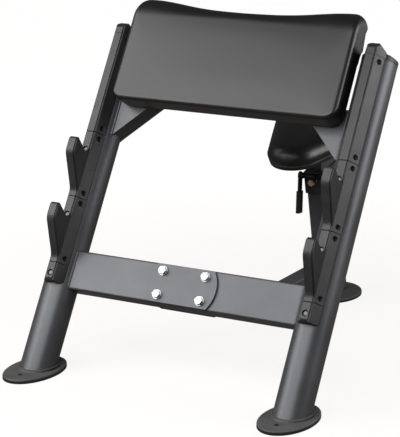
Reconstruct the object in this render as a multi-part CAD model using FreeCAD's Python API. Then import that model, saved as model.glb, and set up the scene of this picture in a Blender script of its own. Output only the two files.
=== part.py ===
"""Preacher curl bench: leaning uprights with bar rests, an arm pad and a height-adjustable seat.

Millimetres. +X to the right seen from the bar side, +Y towards the seat, +Z up. The origin is on the floor,
midway between the uprights and midway between the toes of the front feet and the heel of the rear foot.
"""
import FreeCAD, Part
import math
import os
from FreeCAD import Vector

os.makedirs("parts", exist_ok=True)

# Stance
upright_spacing = 700.0
upright_lean = 31.0
upright_length = 881.3
post_lean = 12.5
post_length = 389.8
foot_spacing = 964.8

# Feet: a steel base plate inside a rubber boot
foot_width = 129.0
foot_length = 208.0
foot_forward = 9.5
rear_foot_width = 168.0
rear_foot_length = 206.0
rear_foot_forward = 8.0
boot_height = 10.0
boot_round = 4.0
boot_sole = 2.5
boot_wall = 7.0
boot_lip_width = 6.0
boot_lip_height = 5.0
plate_thickness = 5.0
anchor_radius = 6.0
anchor_offset = 62.0
rear_anchor_offset = 77.0

# Tubes
tube_radius = 44.45
tube_wall = 3.0
beam_height = 100.0
beam_depth = 50.0
beam_wall = 3.0
beam_corner = 5.0
beam_level = 260.9
cross_height = 25.0
cross_depth = 50.0
cross_wall = 2.5
cross_corner = 4.0
cross_drop = 162.0
gusset_leg = 101.0
gusset_wall = 3.0
spine_width = 50.0
spine_height = 80.0
spine_wall = 3.0
spine_corner = 5.0
spine_level = 67.0
spine_elbow = 88.0
post_width = 50.0
post_depth = 100.0
post_wall = 3.0
post_corner = 5.0
weld_gap = 0.1

# Bolted joint of the beam and the spine
clamp_thickness = 5.5
clamp_inset = 2.0
clamp_half_length = 94.0
clamp_end_radius = 82.0
flange_thickness = 8.0
flange_length = 164.0
beam_bolt_radius = 6.0
beam_bolt_across = 58.7
beam_bolt_up = 30.0
bolt_clearance = 0.5
beam_bolt_flats = 18.0
beam_bolt_head = 7.5
beam_nut_height = 10.0
washer_radius = 12.0
washer_thickness = 2.5
bolt_tail = 5.0

# Bar rail on the front of each upright
rail_gap = 0.25
rail_front = 66.0
rail_flat_half = 9.6
rail_ledge_depth = 3.0
rail_ledge_half = 12.8
rail_shoulder_half = 14.2
rail_shoulder_depth = 5.5
rail_base_half = 28.0
end_block_length = 48.0
end_block_round = 8.0
module_length = 173.5
cover_length = 270.0
module_gap = 1.5

# Bar rest, drawn from the lower end of its module and the front of the rail
hook_root = 16.0
hook_elbow = 93.0
hook_reach = 67.0
hook_tip = 140.0
hook_tip_round = 9.0
hook_root_round = 26.0
hook_elbow_round = 34.0
hook_shelf_slope = 24.0
hook_cradle_round = 12.0
hook_ledge_half = 12.6
hook_sink = 8.0

# Rail screws
front_screw_radius = 4.0
front_head_radius = 6.5
front_head_height = 4.0
front_bore_radius = 7.5
front_bore_depth = 7.0
front_screw_length = 30.0
saddle_screw_level = 125.0
end_screw_level = 20.0
side_screw_radius = 2.5
side_head_radius = 5.7
side_head_height = 3.0
side_bore_radius = 6.5
side_bore_depth = 5.5
side_screw_length = 9.0
side_screw_setback = 17.5
side_screw_pitch = 14.0
screw_clearance = 0.2

# Moulded cap over the tube end and the rail cover
cap_height = 33.0
cap_dome_radius = 75.0
cap_dome_drop = 8.0
cap_hip = 17.0
cap_spigot = 22.0
cap_spigot_wall = 3.0
cap_fit = 0.2

# Arm pad
pad_half_width = 305.0
pad_overhang = 16.0
pad_rise_middle = 260.0
pad_rise_ends = 283.0
pad_face = 81.0
pad_face_crown = 3.0
pad_edge_round = 16.0
pad_low_round = 10.0
pad_roll_drop = 32.0
pad_roll_depth = 36.0
pad_chest_back = 9.0
pad_chest_bulge = 4.0
pad_end_round = 34.0
pad_end_draw = 20.0
pad_end_turns = (0, 30, 60, 85)
board_thickness = 12.0
board_inset = 9.0
board_height = 156.0
strap_width = 40.0
strap_thickness = 6.0
strap_offset = 150.0
strap_end = 8.0
pad_bolt_radius = 4.0
pad_bolt_flats = 13.0
pad_bolt_head = 5.5
pad_bolt_rise = 29.0
pad_bolt_end = 22.0
pad_bolt_bite = 10.0
pad_clearance = 0.3

# Seat, measured along the post from its foot
seat_travel = 150.0
seat_cheek_height = 71.8
seat_bracket_thickness = 5.0
seat_bracket_width = 130.0
seat_bracket_length = 190.0
seat_cheek_thickness = 4.0
seat_cheek_length = 96.0
seat_tube_width = 40.0
seat_tube_depth = 90.0
seat_tube_wall = 3.0
seat_tube_corner = 4.0
seat_tube_length = 330.0
seat_board_thickness = 12.0
seat_board_inset = 8.0
seat_pad_height = 46.0
seat_pad_shares = (0.0, 0.24, 0.62, 0.88, 1.0)
seat_pad_offsets = (-5.0, 0.0, -3.0, -14.0, -44.0)
seat_nose_radius = 75.0
seat_nose_centre = -140.0
seat_rear_radius = 60.0
seat_rear_half = 82.0
seat_rear_centre = 50.0
seat_bolt_radius = 4.0
seat_bolt_flats = 13.0
seat_bolt_head = 5.5
seat_bolt_across = 46.0
seat_bolt_along = 74.0
seat_bolt_bite = 10.0
stop_pin_radius = 4.0
stop_pin_rise = 22.0
stop_pin_side_gap = 0.5

# Guide collar on the post
collar_wall = 4.5
collar_drop = 56.0
collar_rim = 8.0
collar_liner = 70.0
collar_corner = 6.0
collar_fit = 0.2
slide_gap = 0.3

# Seat lock
lock_drop = 16.0
lock_pitch = 25.0
lock_hole_radius = 5.6
plunger_radius = 5.0
plunger_gap = 0.3
plunger_flange_radius = 9.0
plunger_flange_thickness = 3.0
plunger_core_radius = 4.0
groove_width = 6.0
running_gap = 0.05
bush_flange_radius = 11.0
bush_flange_thickness = 3.0
bush_radius = 8.0
bush_to_flange = 2.0
bush_to_bracket = 1.0
shaft_radius = 5.0
shaft_rise = 18.0
ear_inner = 24.0
ear_thickness = 4.0
ear_round = 9.0
bracket_thickness = 3.0
fork_hub_radius = 7.5
fork_hub_half = 13.0
fork_arm_thickness = 3.5
prong_radius = 2.5
prong_gap = 1.0
lever_thickness = 5.0
lever_width = 18.0
lever_gap = 2.0
lever_length = 102.0
lever_forward = 15.0
lever_eye_radius = 11.0
grip_length = 58.0
grip_wall = 3.0
grip_fit = 0.1
clip_thickness = 1.5
clip_radius = 8.5
clip_groove = 1.0
clip_mouth_share = 0.7
shaft_end = 5.0
spring_wire = 0.8
spring_radius = 6.6
spring_pitch = 2.3
spring_turns = 3

bench_front = foot_forward + foot_length / 2
bench_rear = rear_foot_length / 2 - rear_foot_forward
front_foot_y = bench_front - (bench_front + foot_spacing + bench_rear) / 2
rear_foot_y = front_foot_y + foot_spacing
upright_x = upright_spacing / 2
plate_top = boot_sole + plate_thickness
reach = 3000.0
pick_margin = 0.5
X_AXIS = Vector(1, 0, 0)
Z_AXIS = Vector(0, 0, 1)
ORIGIN = Vector(0, 0, 0)
UPRIGHTS = (("left", -upright_x), ("right", upright_x))

# Levels along the uprights, from where their axes meet the floor
third_joint = upright_length - cover_length
second_joint = third_joint - module_length
first_joint = second_joint - module_length
rail_bottom = first_joint - end_block_length
cross_level = upright_length - cross_drop
pad_bottom = cross_level - pad_overhang
pad_top_middle = pad_bottom + pad_rise_middle
pad_top_ends = pad_bottom + pad_rise_ends
board_low = pad_bottom + board_inset
board_top = board_low + board_height
strap_top = board_top - strap_end
pad_bolt_levels = (cross_level + cross_height + pad_bolt_rise, strap_top - pad_bolt_end)

# Levels along the post, from where its axis meets the floor
collar_top = post_length + collar_rim
cheek_low = collar_top + slide_gap
bracket_low = cheek_low + seat_cheek_height
seat_level = bracket_low + seat_bracket_thickness
seat_tube_bottom = bracket_low - weld_gap - seat_tube_length
lock_level = post_length - lock_drop


def export(name, *solids):
    """Write one node: a single solid, or a group of separate solids."""
    shape = solids[0] if len(solids) == 1 else Part.makeCompound(list(solids))
    if not shape.isValid():
        print("not valid:", name)
    shape.exportStep("parts/" + name + ".step")


def moved(shape, x=0.0, y=0.0, z=0.0):
    copy = shape.copy()
    copy.translate(Vector(x, y, z))
    return copy


def lean(shape):
    """From the uprights' frame (y behind the tube axis, z up along the tube) to the bench."""
    copy = shape.copy()
    copy.rotate(ORIGIN, X_AXIS, -upright_lean)
    copy.translate(Vector(0, front_foot_y, 0))
    return copy


def on_post(shape):
    """From the post's frame (y behind the post axis, z up along the post) to the bench."""
    copy = shape.copy()
    copy.rotate(ORIGIN, X_AXIS, post_lean)
    copy.translate(Vector(0, rear_foot_y, 0))
    return copy


def block(x0, x1, y0, y1, z0, z1):
    return Part.makeBox(x1 - x0, y1 - y0, z1 - z0, Vector(x0, y0, z0))


def edges_along(shape, direction):
    """Straight edges of a shape that run along a direction."""
    found = []
    for edge in shape.Edges:
        if edge.Curve.TypeId == "Part::GeomLine" and edge.Curve.Direction.cross(direction).Length < 1e-6:
            found.append(edge)
    return found


def round_block(x0, x1, y0, y1, z0, z1, radius, direction=Z_AXIS):
    """A block with its four edges along one direction rounded."""
    solid = block(x0, x1, y0, y1, z0, z1)
    return solid.makeFillet(radius, edges_along(solid, direction))


def box_tube(width, depth, wall, corner, z0, z1):
    """Rectangular tube along z with rounded outer and inner corners."""
    outer = round_block(-width / 2, width / 2, -depth / 2, depth / 2, z0, z1, corner)
    half_w = width / 2 - wall
    half_d = depth / 2 - wall
    inner = round_block(-half_w, half_w, -half_d, half_d, z0, z1, max(corner - wall, wall / 4))
    return outer.cut(inner)


def cut_beyond(shape, point, normal):
    """Remove what lies past a plane, on the side that its normal points to."""
    far = Part.makeBox(reach, reach, reach, Vector(-reach / 2, -reach / 2, 0))
    far.Placement = FreeCAD.Placement(point, FreeCAD.Rotation(Z_AXIS, normal))
    return shape.cut(far)


def rod(radius, start, end):
    """Cylinder between two points."""
    axis = end.sub(start)
    return Part.makeCylinder(radius, axis.Length, start, axis)


def hexagon(flats, start, end):
    """Hexagonal prism between two points."""
    axis = end.sub(start)
    corner = flats / math.sqrt(3)
    points = []
    for step in range(7):
        angle = math.radians(60 * step)
        points.append(Vector(corner * math.cos(angle), corner * math.sin(angle), 0))
    prism = Part.Face(Part.makePolygon(points)).extrude(Vector(0, 0, axis.Length))
    prism.Placement = FreeCAD.Placement(start, FreeCAD.Rotation(Z_AXIS, axis))
    return prism


def fillet_where(shape, radius, test):
    """Round the edges whose middle passes a test."""
    edges = [edge for edge in shape.Edges if test(edge.valueAt((edge.FirstParameter + edge.LastParameter) / 2))]
    return shape.makeFillet(radius, edges)


# Uprights: round tubes that lean back towards the seat and stand on the base plates.
tube_front_holes = []
for level in (rail_bottom + end_screw_level, first_joint + saddle_screw_level,
              second_joint + saddle_screw_level):
    hole_radius = front_screw_radius + screw_clearance
    hole = rod(hole_radius, Vector(0, -rail_front, level), Vector(0, 0, level))
    tube_front_holes.append(hole)


def upright():
    outer = Part.makeCylinder(tube_radius, upright_length + foot_length, Vector(0, 0, -foot_length))
    bore = Part.makeCylinder(tube_radius - tube_wall, upright_length + foot_length, Vector(0, 0, -foot_length))
    tube = outer.cut(bore)
    for hole in tube_front_holes:
        tube = tube.cut(hole)
    return cut_beyond(lean(tube), Vector(0, 0, plate_top), Vector(0, 0, -1))


for side, x in UPRIGHTS:
    export(side + "_upright", moved(upright(), x))


# Feet: an oval steel plate inside an oval rubber boot. The boot's lip follows the tube that passes through it.
def oval(width, length, z0, z1):
    """Upright prism on an ellipse, longer along y."""
    curve = Part.Ellipse(ORIGIN, length / 2, width / 2)
    face = Part.Face(Part.Wire(curve.toShape()))
    solid = face.extrude(Vector(0, 0, z1 - z0))
    solid.rotate(ORIGIN, Z_AXIS, 90)
    solid.translate(Vector(0, 0, z0))
    return solid


def base_plate(width, length, centre_y, anchor_y):
    plate = moved(oval(width - 2 * boot_wall, length - 2 * boot_wall, boot_sole, plate_top), 0, centre_y)
    return plate.cut(Part.makeCylinder(anchor_radius, boot_height, Vector(0, anchor_y, 0)))


def foot_boot(width, length, centre_y, anchor_y, lip, passage):
    body = oval(width, length, 0, boot_height)
    body = fillet_where(body, boot_round, lambda p: p.z > boot_height - pick_margin)
    body = moved(body, 0, centre_y).fuse(lip)
    body = body.cut(passage)
    pocket = oval(width - 2 * boot_wall, length - 2 * boot_wall, boot_sole, plate_top)
    body = body.cut(moved(pocket, 0, centre_y))
    return body.cut(Part.makeCylinder(anchor_radius, 2 * boot_height, Vector(0, anchor_y, -boot_height / 2)))


def slab(shape, z0, z1):
    """The part of a shape between two heights above the floor."""
    return shape.common(block(-reach / 2, reach / 2, -reach / 2, reach / 2, z0, z1))


lip_top = boot_height + boot_lip_height
tube_column = Part.makeCylinder(tube_radius + rail_gap, foot_length, Vector(0, 0, -foot_length / 2))
lip_column = Part.makeCylinder(tube_radius + boot_lip_width, foot_length, Vector(0, 0, -foot_length / 2))
for column in (tube_column, lip_column):
    column.rotate(ORIGIN, X_AXIS, -upright_lean)
tube_lip = slab(lip_column, plate_top, lip_top)
tube_passage = slab(tube_column, plate_top, lip_top)
front_oval = (foot_width, foot_length, -foot_forward, -foot_forward - anchor_offset)
for side, x in UPRIGHTS:
    export(side + "_base_plate", moved(base_plate(*front_oval), x, front_foot_y))
    export(side + "_foot_boot", moved(foot_boot(*front_oval, tube_lip, tube_passage), x, front_foot_y))

post_half_w = post_width / 2
post_half_d = post_depth / 2
post_column = round_block(-post_half_w - rail_gap, post_half_w + rail_gap, -post_half_d - rail_gap,
                          post_half_d + rail_gap, -foot_length / 2, foot_length / 2, post_corner)
post_lip_column = round_block(-post_half_w - boot_lip_width, post_half_w + boot_lip_width,
                              -post_half_d - boot_lip_width, post_half_d + boot_lip_width,
                              -foot_length / 2, foot_length / 2, post_corner + boot_lip_width)
for column in (post_column, post_lip_column):
    column.rotate(ORIGIN, X_AXIS, post_lean)
post_lip = slab(post_lip_column, plate_top, lip_top)
post_passage = slab(post_column, plate_top, lip_top)
rear_oval = (rear_foot_width, rear_foot_length, -rear_foot_forward, rear_anchor_offset - rear_foot_forward)
export("rear_base_plate", moved(base_plate(*rear_oval), 0, rear_foot_y))
export("rear_foot_boot", moved(foot_boot(*rear_oval, post_lip, post_passage), 0, rear_foot_y))


# Beam between the uprights, and the pad's cross tube above it, both coped to the round tubes.
def between_uprights(height, depth, wall, corner, level):
    """Rectangular tube along x, fish-mouthed at both ends, with its centre at a level."""
    tube = box_tube(height, depth, wall, corner, -upright_x, upright_x)
    tube.rotate(ORIGIN, Vector(0, 1, 0), 90)
    tube.translate(Vector(0, 0, level))
    for _, x in UPRIGHTS:
        tube = tube.cut(Part.makeCylinder(tube_radius + weld_gap, upright_length, Vector(x, 0, 0)))
    return max(tube.Solids, key=lambda solid: solid.Volume)


beam_front = -beam_depth / 2
beam_back = beam_depth / 2
clamp_front = beam_front - clamp_thickness
flange_back = beam_back + flange_thickness
bolt_places = []
for x in (-beam_bolt_across, beam_bolt_across):
    for z in (beam_level - beam_bolt_up, beam_level + beam_bolt_up):
        bolt_places.append((x, z))
bolt_hole_radius = beam_bolt_radius + bolt_clearance


def drilled_for_bolts(shape):
    for x, z in bolt_places:
        shape = shape.cut(rod(bolt_hole_radius, Vector(x, -beam_depth, z), Vector(x, beam_depth, z)))
    return shape


export("crossbeam", lean(drilled_for_bolts(
    between_uprights(beam_height, beam_depth, beam_wall, beam_corner, beam_level))))
cross_centre = cross_level + cross_height / 2
pad_cross_tube = between_uprights(cross_height, cross_depth, cross_wall, cross_corner, cross_centre)
export("pad_cross_tube", lean(pad_cross_tube))


# Clamp plate on the beam's front. Each end is one arc, farthest out at mid height.
def clamp_plate():
    half_height = beam_height / 2 - clamp_inset
    top = beam_level + half_height
    bottom = beam_level - half_height
    end_drop = clamp_end_radius - math.sqrt(clamp_end_radius ** 2 - half_height ** 2)
    edge_half = clamp_half_length - end_drop
    corners = [Vector(-edge_half, beam_front, bottom), Vector(edge_half, beam_front, bottom),
               Vector(edge_half, beam_front, top), Vector(-edge_half, beam_front, top)]
    right = Part.Arc(corners[1], Vector(clamp_half_length, beam_front, beam_level), corners[2])
    left = Part.Arc(corners[3], Vector(-clamp_half_length, beam_front, beam_level), corners[0])
    outline = Part.Wire([Part.LineSegment(corners[0], corners[1]).toShape(), right.toShape(),
                         Part.LineSegment(corners[2], corners[3]).toShape(), left.toShape()])
    return Part.Face(outline).extrude(Vector(0, -clamp_thickness, 0))


export("clamp_plate", lean(drilled_for_bolts(clamp_plate())))
spine_flange = block(-flange_length / 2, flange_length / 2, beam_back, flange_back,
                     beam_level - beam_height / 2, beam_level + beam_height / 2)
spine_flange = spine_flange.makeFillet(2 * beam_corner, edges_along(spine_flange, Vector(0, 1, 0)))
export("spine_flange", lean(drilled_for_bolts(spine_flange)))

bolts = []
washers = []
nuts = []
head_seat = clamp_front - washer_thickness
nut_seat = flange_back + washer_thickness
for x, z in bolt_places:
    head = hexagon(beam_bolt_flats, Vector(x, head_seat, z), Vector(x, head_seat - beam_bolt_head, z))
    tail = nut_seat + beam_nut_height + bolt_tail
    bolts.append(lean(head.fuse(rod(beam_bolt_radius, Vector(x, head_seat, z), Vector(x, tail, z)))))
    for start, end in ((clamp_front, head_seat), (flange_back, nut_seat)):
        ring = rod(washer_radius, Vector(x, start, z), Vector(x, end, z))
        ring = ring.cut(rod(bolt_hole_radius, Vector(x, start, z), Vector(x, end, z)))
        washers.append(lean(ring))
    nut = hexagon(beam_bolt_flats, Vector(x, nut_seat, z), Vector(x, nut_seat + beam_nut_height, z))
    nut = nut.cut(rod(beam_bolt_radius, Vector(x, nut_seat, z), Vector(x, nut_seat + beam_nut_height, z)))
    nuts.append(lean(nut))
export("beam_bolts", *bolts)
export("beam_washers", *washers)
export("beam_nuts", *nuts)


# Gussets: folded triangular boxes that carry the cross tube on the uprights, open towards both.
def gusset(sign):
    """Triangular prism at 45 degrees under the cross tube, coped to the upright on one side."""
    surface = math.sqrt(tube_radius ** 2 - (cross_depth / 2) ** 2)
    reach_in = gusset_leg + surface

    def prism(inset):
        long_leg = reach_in - inset * math.sqrt(2)
        points = [Vector(upright_x - long_leg, 0, cross_level), Vector(upright_x, 0, cross_level),
                  Vector(upright_x, 0, cross_level - long_leg)]
        face = Part.Face(Part.makePolygon(points + points[:1]))
        solid = face.extrude(Vector(0, cross_depth - 2 * inset, 0))
        return moved(solid, 0, -cross_depth / 2 + inset)

    solid = prism(0).cut(prism(gusset_wall))
    solid = solid.cut(Part.makeCylinder(tube_radius + weld_gap, upright_length, Vector(upright_x, 0, 0)))
    if sign < 0:
        solid.rotate(ORIGIN, Z_AXIS, 180)
    return lean(solid)


export("left_gusset", gusset(-1))
export("right_gusset", gusset(1))

# Spine: down from the flange behind the beam, then level to the rear post. Mitred at the elbow.
lean_angle = math.radians(upright_lean)
post_angle = math.radians(post_lean)
flange_normal = Vector(0, math.cos(lean_angle), -math.sin(lean_angle))
flange_point = lean(Part.Vertex(0, flange_back + weld_gap, beam_level)).Point
elbow_point = Vector(0, spine_elbow, spine_level)
fall = elbow_point.sub(flange_point).normalize()
mitre = fall.add(Vector(0, 1, 0)).normalize()
post_front = Vector(0, rear_foot_y, 0).add(Vector(0, -math.cos(post_angle), -math.sin(post_angle)).multiply(
    post_half_d + weld_gap))


def spine_tube(direction, point):
    """Tube through a point along a direction, tall side up, longer than it needs to be."""
    tube = box_tube(spine_width, spine_height, spine_wall, spine_corner, -foot_spacing, foot_spacing)
    tilt = math.degrees(math.atan2(direction.z, direction.y))
    tube.rotate(ORIGIN, X_AXIS, tilt - 90)
    tube.translate(point)
    return tube


front_run = spine_tube(fall, elbow_point)
front_run = cut_beyond(front_run, flange_point, flange_normal.negative())
front_run = cut_beyond(front_run, elbow_point, mitre)
export("spine_front_tube", front_run)
rear_run = spine_tube(Vector(0, 1, 0), elbow_point)
rear_run = cut_beyond(rear_run, elbow_point, mitre.negative())
rear_run = cut_beyond(rear_run, post_front, Vector(0, math.cos(post_angle), math.sin(post_angle)))
export("spine_rear_tube", rear_run)


# Rail on the front of each upright: end block, two bar rests and a long cover, end to end.
def rail_bar(z0, z1):
    """Rail body: saddle on the tube, sloping sides, a ledge and a raised strip down the front."""
    saddle = tube_radius + rail_gap
    base = math.sqrt(saddle ** 2 - rail_base_half ** 2)
    ledge = rail_front - rail_ledge_depth
    shoulder = rail_front - rail_shoulder_depth
    right = [Vector(rail_base_half, -base, 0), Vector(rail_shoulder_half, -shoulder, 0),
             Vector(rail_ledge_half, -ledge, 0), Vector(rail_flat_half, -ledge, 0),
             Vector(rail_flat_half, -rail_front, 0)]
    left = [Vector(-point.x, point.y, 0) for point in reversed(right)]
    arc = Part.Arc(left[-1], Vector(0, -saddle, 0), right[0])
    outline = Part.Wire([Part.makePolygon(right + left), arc.toShape()])
    return moved(Part.Face(outline).extrude(Vector(0, 0, z1 - z0)), 0, 0, z0)


def round_corner(before, corner, after, radius):
    """Arc that rounds the corner of a line, touching both of its legs."""
    back = before.sub(corner).normalize()
    ahead = after.sub(corner).normalize()
    half_angle = back.getAngle(ahead) / 2
    setback = radius / math.tan(half_angle)
    inward = back.add(ahead).normalize()
    middle = corner.add(inward.multiply(radius / math.sin(half_angle) - radius))
    return Part.Arc(corner.add(back.multiply(setback)), middle, corner.add(ahead.multiply(setback)))


def bar_rest_web(inset, half):
    """Side outline of a bar rest drawn in by inset all round, as a web of a half thickness.

    A sweep out of the rail's front into the underside, a round elbow, the front face along the rail, a rounded
    tip, then the shelf that falls back to a round cradle on the rail.
    """
    rise = math.atan2(hook_elbow - hook_root, hook_reach)
    slope = math.radians(hook_shelf_slope)
    rail = rail_front - inset
    front = rail_front + hook_reach - inset
    back = rail_front - hook_sink
    tip = hook_tip_round - inset
    cradle = hook_cradle_round + inset

    def underside(n):
        return hook_root + (n - rail_front) * math.tan(rise) + inset / math.cos(rise)

    def shelf(n):
        return hook_tip - (rail_front + hook_reach - n) * math.tan(slope) - inset / math.cos(slope)

    def at(n, u):
        return Vector(-half, -n, u)

    up = (-math.sin(slope), math.cos(slope))
    tip_n = front - tip
    tip_u = shelf(tip_n) - tip / math.cos(slope)
    tip_mid = (1 + up[0], up[1])
    tip_scale = tip / math.hypot(*tip_mid)
    cradle_n = rail + cradle
    cradle_u = shelf(cradle_n) + cradle / math.cos(slope)
    cradle_mid = (-1 - up[0], -up[1])
    cradle_scale = cradle / math.hypot(*cradle_mid)
    tip_arc = Part.Arc(at(front, tip_u), at(tip_n + tip_scale * tip_mid[0], tip_u + tip_scale * tip_mid[1]),
                       at(tip_n + tip * up[0], tip_u + tip * up[1]))
    cradle_arc = Part.Arc(at(cradle_n - cradle * up[0], cradle_u - cradle * up[1]),
                          at(cradle_n + cradle_scale * cradle_mid[0], cradle_u + cradle_scale * cradle_mid[1]),
                          at(rail, cradle_u))
    root = at(rail, underside(rail))
    elbow = at(front, underside(front))
    root_arc = round_corner(at(rail, 0), root, elbow, hook_root_round + inset)
    elbow_arc = round_corner(root, elbow, tip_arc.StartPoint, hook_elbow_round - inset)
    start = Part.makePolygon([at(back, cradle_u), at(back, root_arc.StartPoint.z), root_arc.StartPoint])
    underline = Part.LineSegment(root_arc.EndPoint, elbow_arc.StartPoint).toShape()
    face = Part.LineSegment(elbow_arc.EndPoint, tip_arc.StartPoint).toShape()
    top = Part.LineSegment(tip_arc.EndPoint, cradle_arc.StartPoint).toShape()
    last = Part.LineSegment(cradle_arc.EndPoint, at(back, cradle_u)).toShape()
    outline = Part.Wire([start, root_arc.toShape(), underline, elbow_arc.toShape(), face, tip_arc.toShape(),
                         top, cradle_arc.toShape(), last])
    return Part.Face(outline).extrude(Vector(2 * half, 0, 0))


def front_screw(level):
    """Button-head screw through the rail into the tube, its head sunk in a counterbore."""
    seat = -(rail_front - front_bore_depth)
    shank = rod(front_screw_radius, Vector(0, seat, level), Vector(0, seat + front_screw_length, level))
    head = rod(front_head_radius, Vector(0, seat, level), Vector(0, seat - front_head_height, level))
    head = fillet_where(head, front_head_height / 2, lambda p: p.y < seat - front_head_height + pick_margin)
    return head.fuse(shank)


def front_screw_hole(level):
    seat = -(rail_front - front_bore_depth)
    hole = rod(front_screw_radius + screw_clearance, Vector(0, seat, level), Vector(0, 0, level))
    mouth = Vector(0, -rail_front - hook_cradle_round, level)
    return hole.fuse(rod(front_bore_radius, Vector(0, seat, level), mouth))


side_screw_n = rail_front - side_screw_setback
base_n = math.sqrt((tube_radius + rail_gap) ** 2 - rail_base_half ** 2)
side_share = (side_screw_n - base_n) / (rail_front - rail_shoulder_depth - base_n)
side_face = rail_base_half - side_share * (rail_base_half - rail_shoulder_half)
side_seat = side_face - side_bore_depth


def side_screw(sign, level):
    """Pan-head screw across the rail, sunk in its sloping side."""
    def at(x):
        return Vector(sign * x, -side_screw_n, level)
    head = rod(side_head_radius, at(side_seat), at(side_seat + side_head_height))
    return head.fuse(rod(side_screw_radius, at(side_seat), at(side_seat - side_screw_length)))


def side_screw_hole(sign, level):
    def at(x):
        return Vector(sign * x, -side_screw_n, level)
    hole = rod(side_screw_radius + screw_clearance, at(side_seat), at(side_seat - side_screw_length))
    return hole.fuse(rod(side_bore_radius, at(side_seat), at(rail_base_half)))


side_levels = {
    "lower_bar_rest": (first_joint + side_screw_pitch, second_joint - side_screw_pitch),
    "upper_bar_rest": (second_joint + side_screw_pitch, third_joint - side_screw_pitch),
    "rail_cover": (third_joint + side_screw_pitch, upright_length - side_screw_pitch),
}


def drilled_rail(solid, front_levels, side_screw_levels):
    for level in front_levels:
        solid = solid.cut(front_screw_hole(level))
    for level in side_screw_levels:
        for sign in (-1, 1):
            solid = solid.cut(side_screw_hole(sign, level))
    return solid


def end_block():
    body = rail_bar(rail_bottom, first_joint - module_gap)
    envelope = block(-rail_base_half, rail_base_half, -rail_front, 0, rail_bottom, first_joint)
    envelope = fillet_where(envelope, end_block_round,
                            lambda p: p.z < rail_bottom + pick_margin and p.y < -pick_margin)
    return drilled_rail(body.common(envelope), [rail_bottom + end_screw_level], [])


def bar_rest(name, z0):
    body = rail_bar(z0, z0 + module_length - module_gap)
    for inset, half in ((0.0, rail_flat_half), (rail_ledge_depth, hook_ledge_half)):
        body = body.fuse(moved(bar_rest_web(inset, half), 0, 0, z0))
    return drilled_rail(body.removeSplitter(), [z0 + saddle_screw_level], side_levels[name])


def rail_cover():
    return drilled_rail(rail_bar(third_joint, upright_length), [], side_levels["rail_cover"])


rail_pieces = {
    "rail_end_block": end_block(),
    "lower_bar_rest": bar_rest("lower_bar_rest", first_joint),
    "upper_bar_rest": bar_rest("upper_bar_rest", second_joint),
    "rail_cover": rail_cover(),
}
front_screws = []
side_screws = []
for side, x in UPRIGHTS:
    for name, piece in rail_pieces.items():
        export(side + "_" + name, lean(moved(piece, x)))
    for level in (rail_bottom + end_screw_level, first_joint + saddle_screw_level,
                  second_joint + saddle_screw_level):
        front_screws.append(lean(moved(front_screw(level), x)))
    for levels in side_levels.values():
        for level in levels:
            for sign in (-1, 1):
                side_screws.append(lean(moved(side_screw(sign, level), x)))
export("rail_front_screws", *front_screws)
export("rail_side_screws", *side_screws)


# Caps: one moulding over the tube end and the rail cover, domed over the tube and hipped over the rail, with a
# spigot in the tube.
def top_cap():
    bottom = upright_length + cap_fit
    top = upright_length + cap_height
    disc = Part.makeCylinder(tube_radius + rail_gap, cap_height, Vector(0, 0, bottom))
    dome = Part.makeSphere(cap_dome_radius, Vector(0, 0, top - cap_dome_drop - cap_dome_radius))
    ridge = rail_bar(bottom, top)
    eaves = top - cap_hip
    ridge = cut_beyond(ridge, Vector(0, -rail_front, eaves), Vector(0, -1, 1))
    for sign in (-1, 1):
        ridge = cut_beyond(ridge, Vector(sign * rail_base_half, 0, eaves), Vector(sign, 0, 1))
    body = disc.common(dome).fuse(ridge)
    bore = tube_radius - tube_wall - cap_fit
    low = Vector(0, 0, bottom - cap_spigot)
    spigot = Part.makeCylinder(bore, cap_spigot, low)
    spigot = spigot.cut(Part.makeCylinder(bore - cap_spigot_wall, cap_spigot, low))
    return body.fuse(spigot).removeSplitter()


for side, x in UPRIGHTS:
    export(side + "_top_cap", lean(moved(top_cap(), x)))


# Arm pad: flat padded face along the uprights, a roll along the top that dips in the middle, and a chest
# roll behind it over the board's upper edge.
strap_front = beam_front - strap_thickness
board_front = strap_front - board_thickness
pad_back = -board_front


def pad_section(x, inset):
    """Closed side section of the pad at x, drawn in by inset."""
    top = pad_top_middle + (pad_top_ends - pad_top_middle) * (x / (pad_half_width - pad_end_round)) ** 2
    top = min(top, pad_top_ends) - inset
    low = pad_bottom + inset
    face = pad_face - inset
    back = pad_back
    chest = pad_chest_back + inset
    roll = top - pad_roll_drop
    chest_low = board_top + pad_clearance + inset
    crest = face - pad_roll_depth

    def at(n, z):
        return Vector(x, -n, z)

    turn = pad_edge_round * (1 - math.sqrt(0.5))
    low_turn = pad_low_round * (1 - math.sqrt(0.5))
    p_low = at(face - pad_low_round, low)
    p_face = at(face, low + pad_low_round)
    p_roll = at(face, roll)
    p_crest = at(crest, top)
    p_chest = at(chest, chest_low + pad_edge_round)
    p_hollow = at(chest + pad_edge_round, chest_low)
    p_step = at(back, chest_low)
    p_back = at(back, low)
    across = math.sqrt(0.5)
    edges = [
        Part.LineSegment(p_back, p_low),
        Part.Arc(p_low, at(face - low_turn, low + low_turn), p_face),
        Part.Arc(p_face, at(face + pad_face_crown * (1 - inset / pad_end_draw), (low + roll) / 2), p_roll),
        Part.Arc(p_roll, at(crest + pad_roll_depth * across, roll + pad_roll_drop * across), p_crest),
        Part.Arc(p_crest, at((crest + chest) / 2 - pad_chest_bulge, (top + p_chest.z) / 2), p_chest),
        Part.Arc(p_chest, at(chest + turn, chest_low + turn), p_hollow),
        Part.LineSegment(p_hollow, p_step),
        Part.LineSegment(p_step, p_back),
    ]
    return Part.Wire([edge.toShape() for edge in edges])


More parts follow.
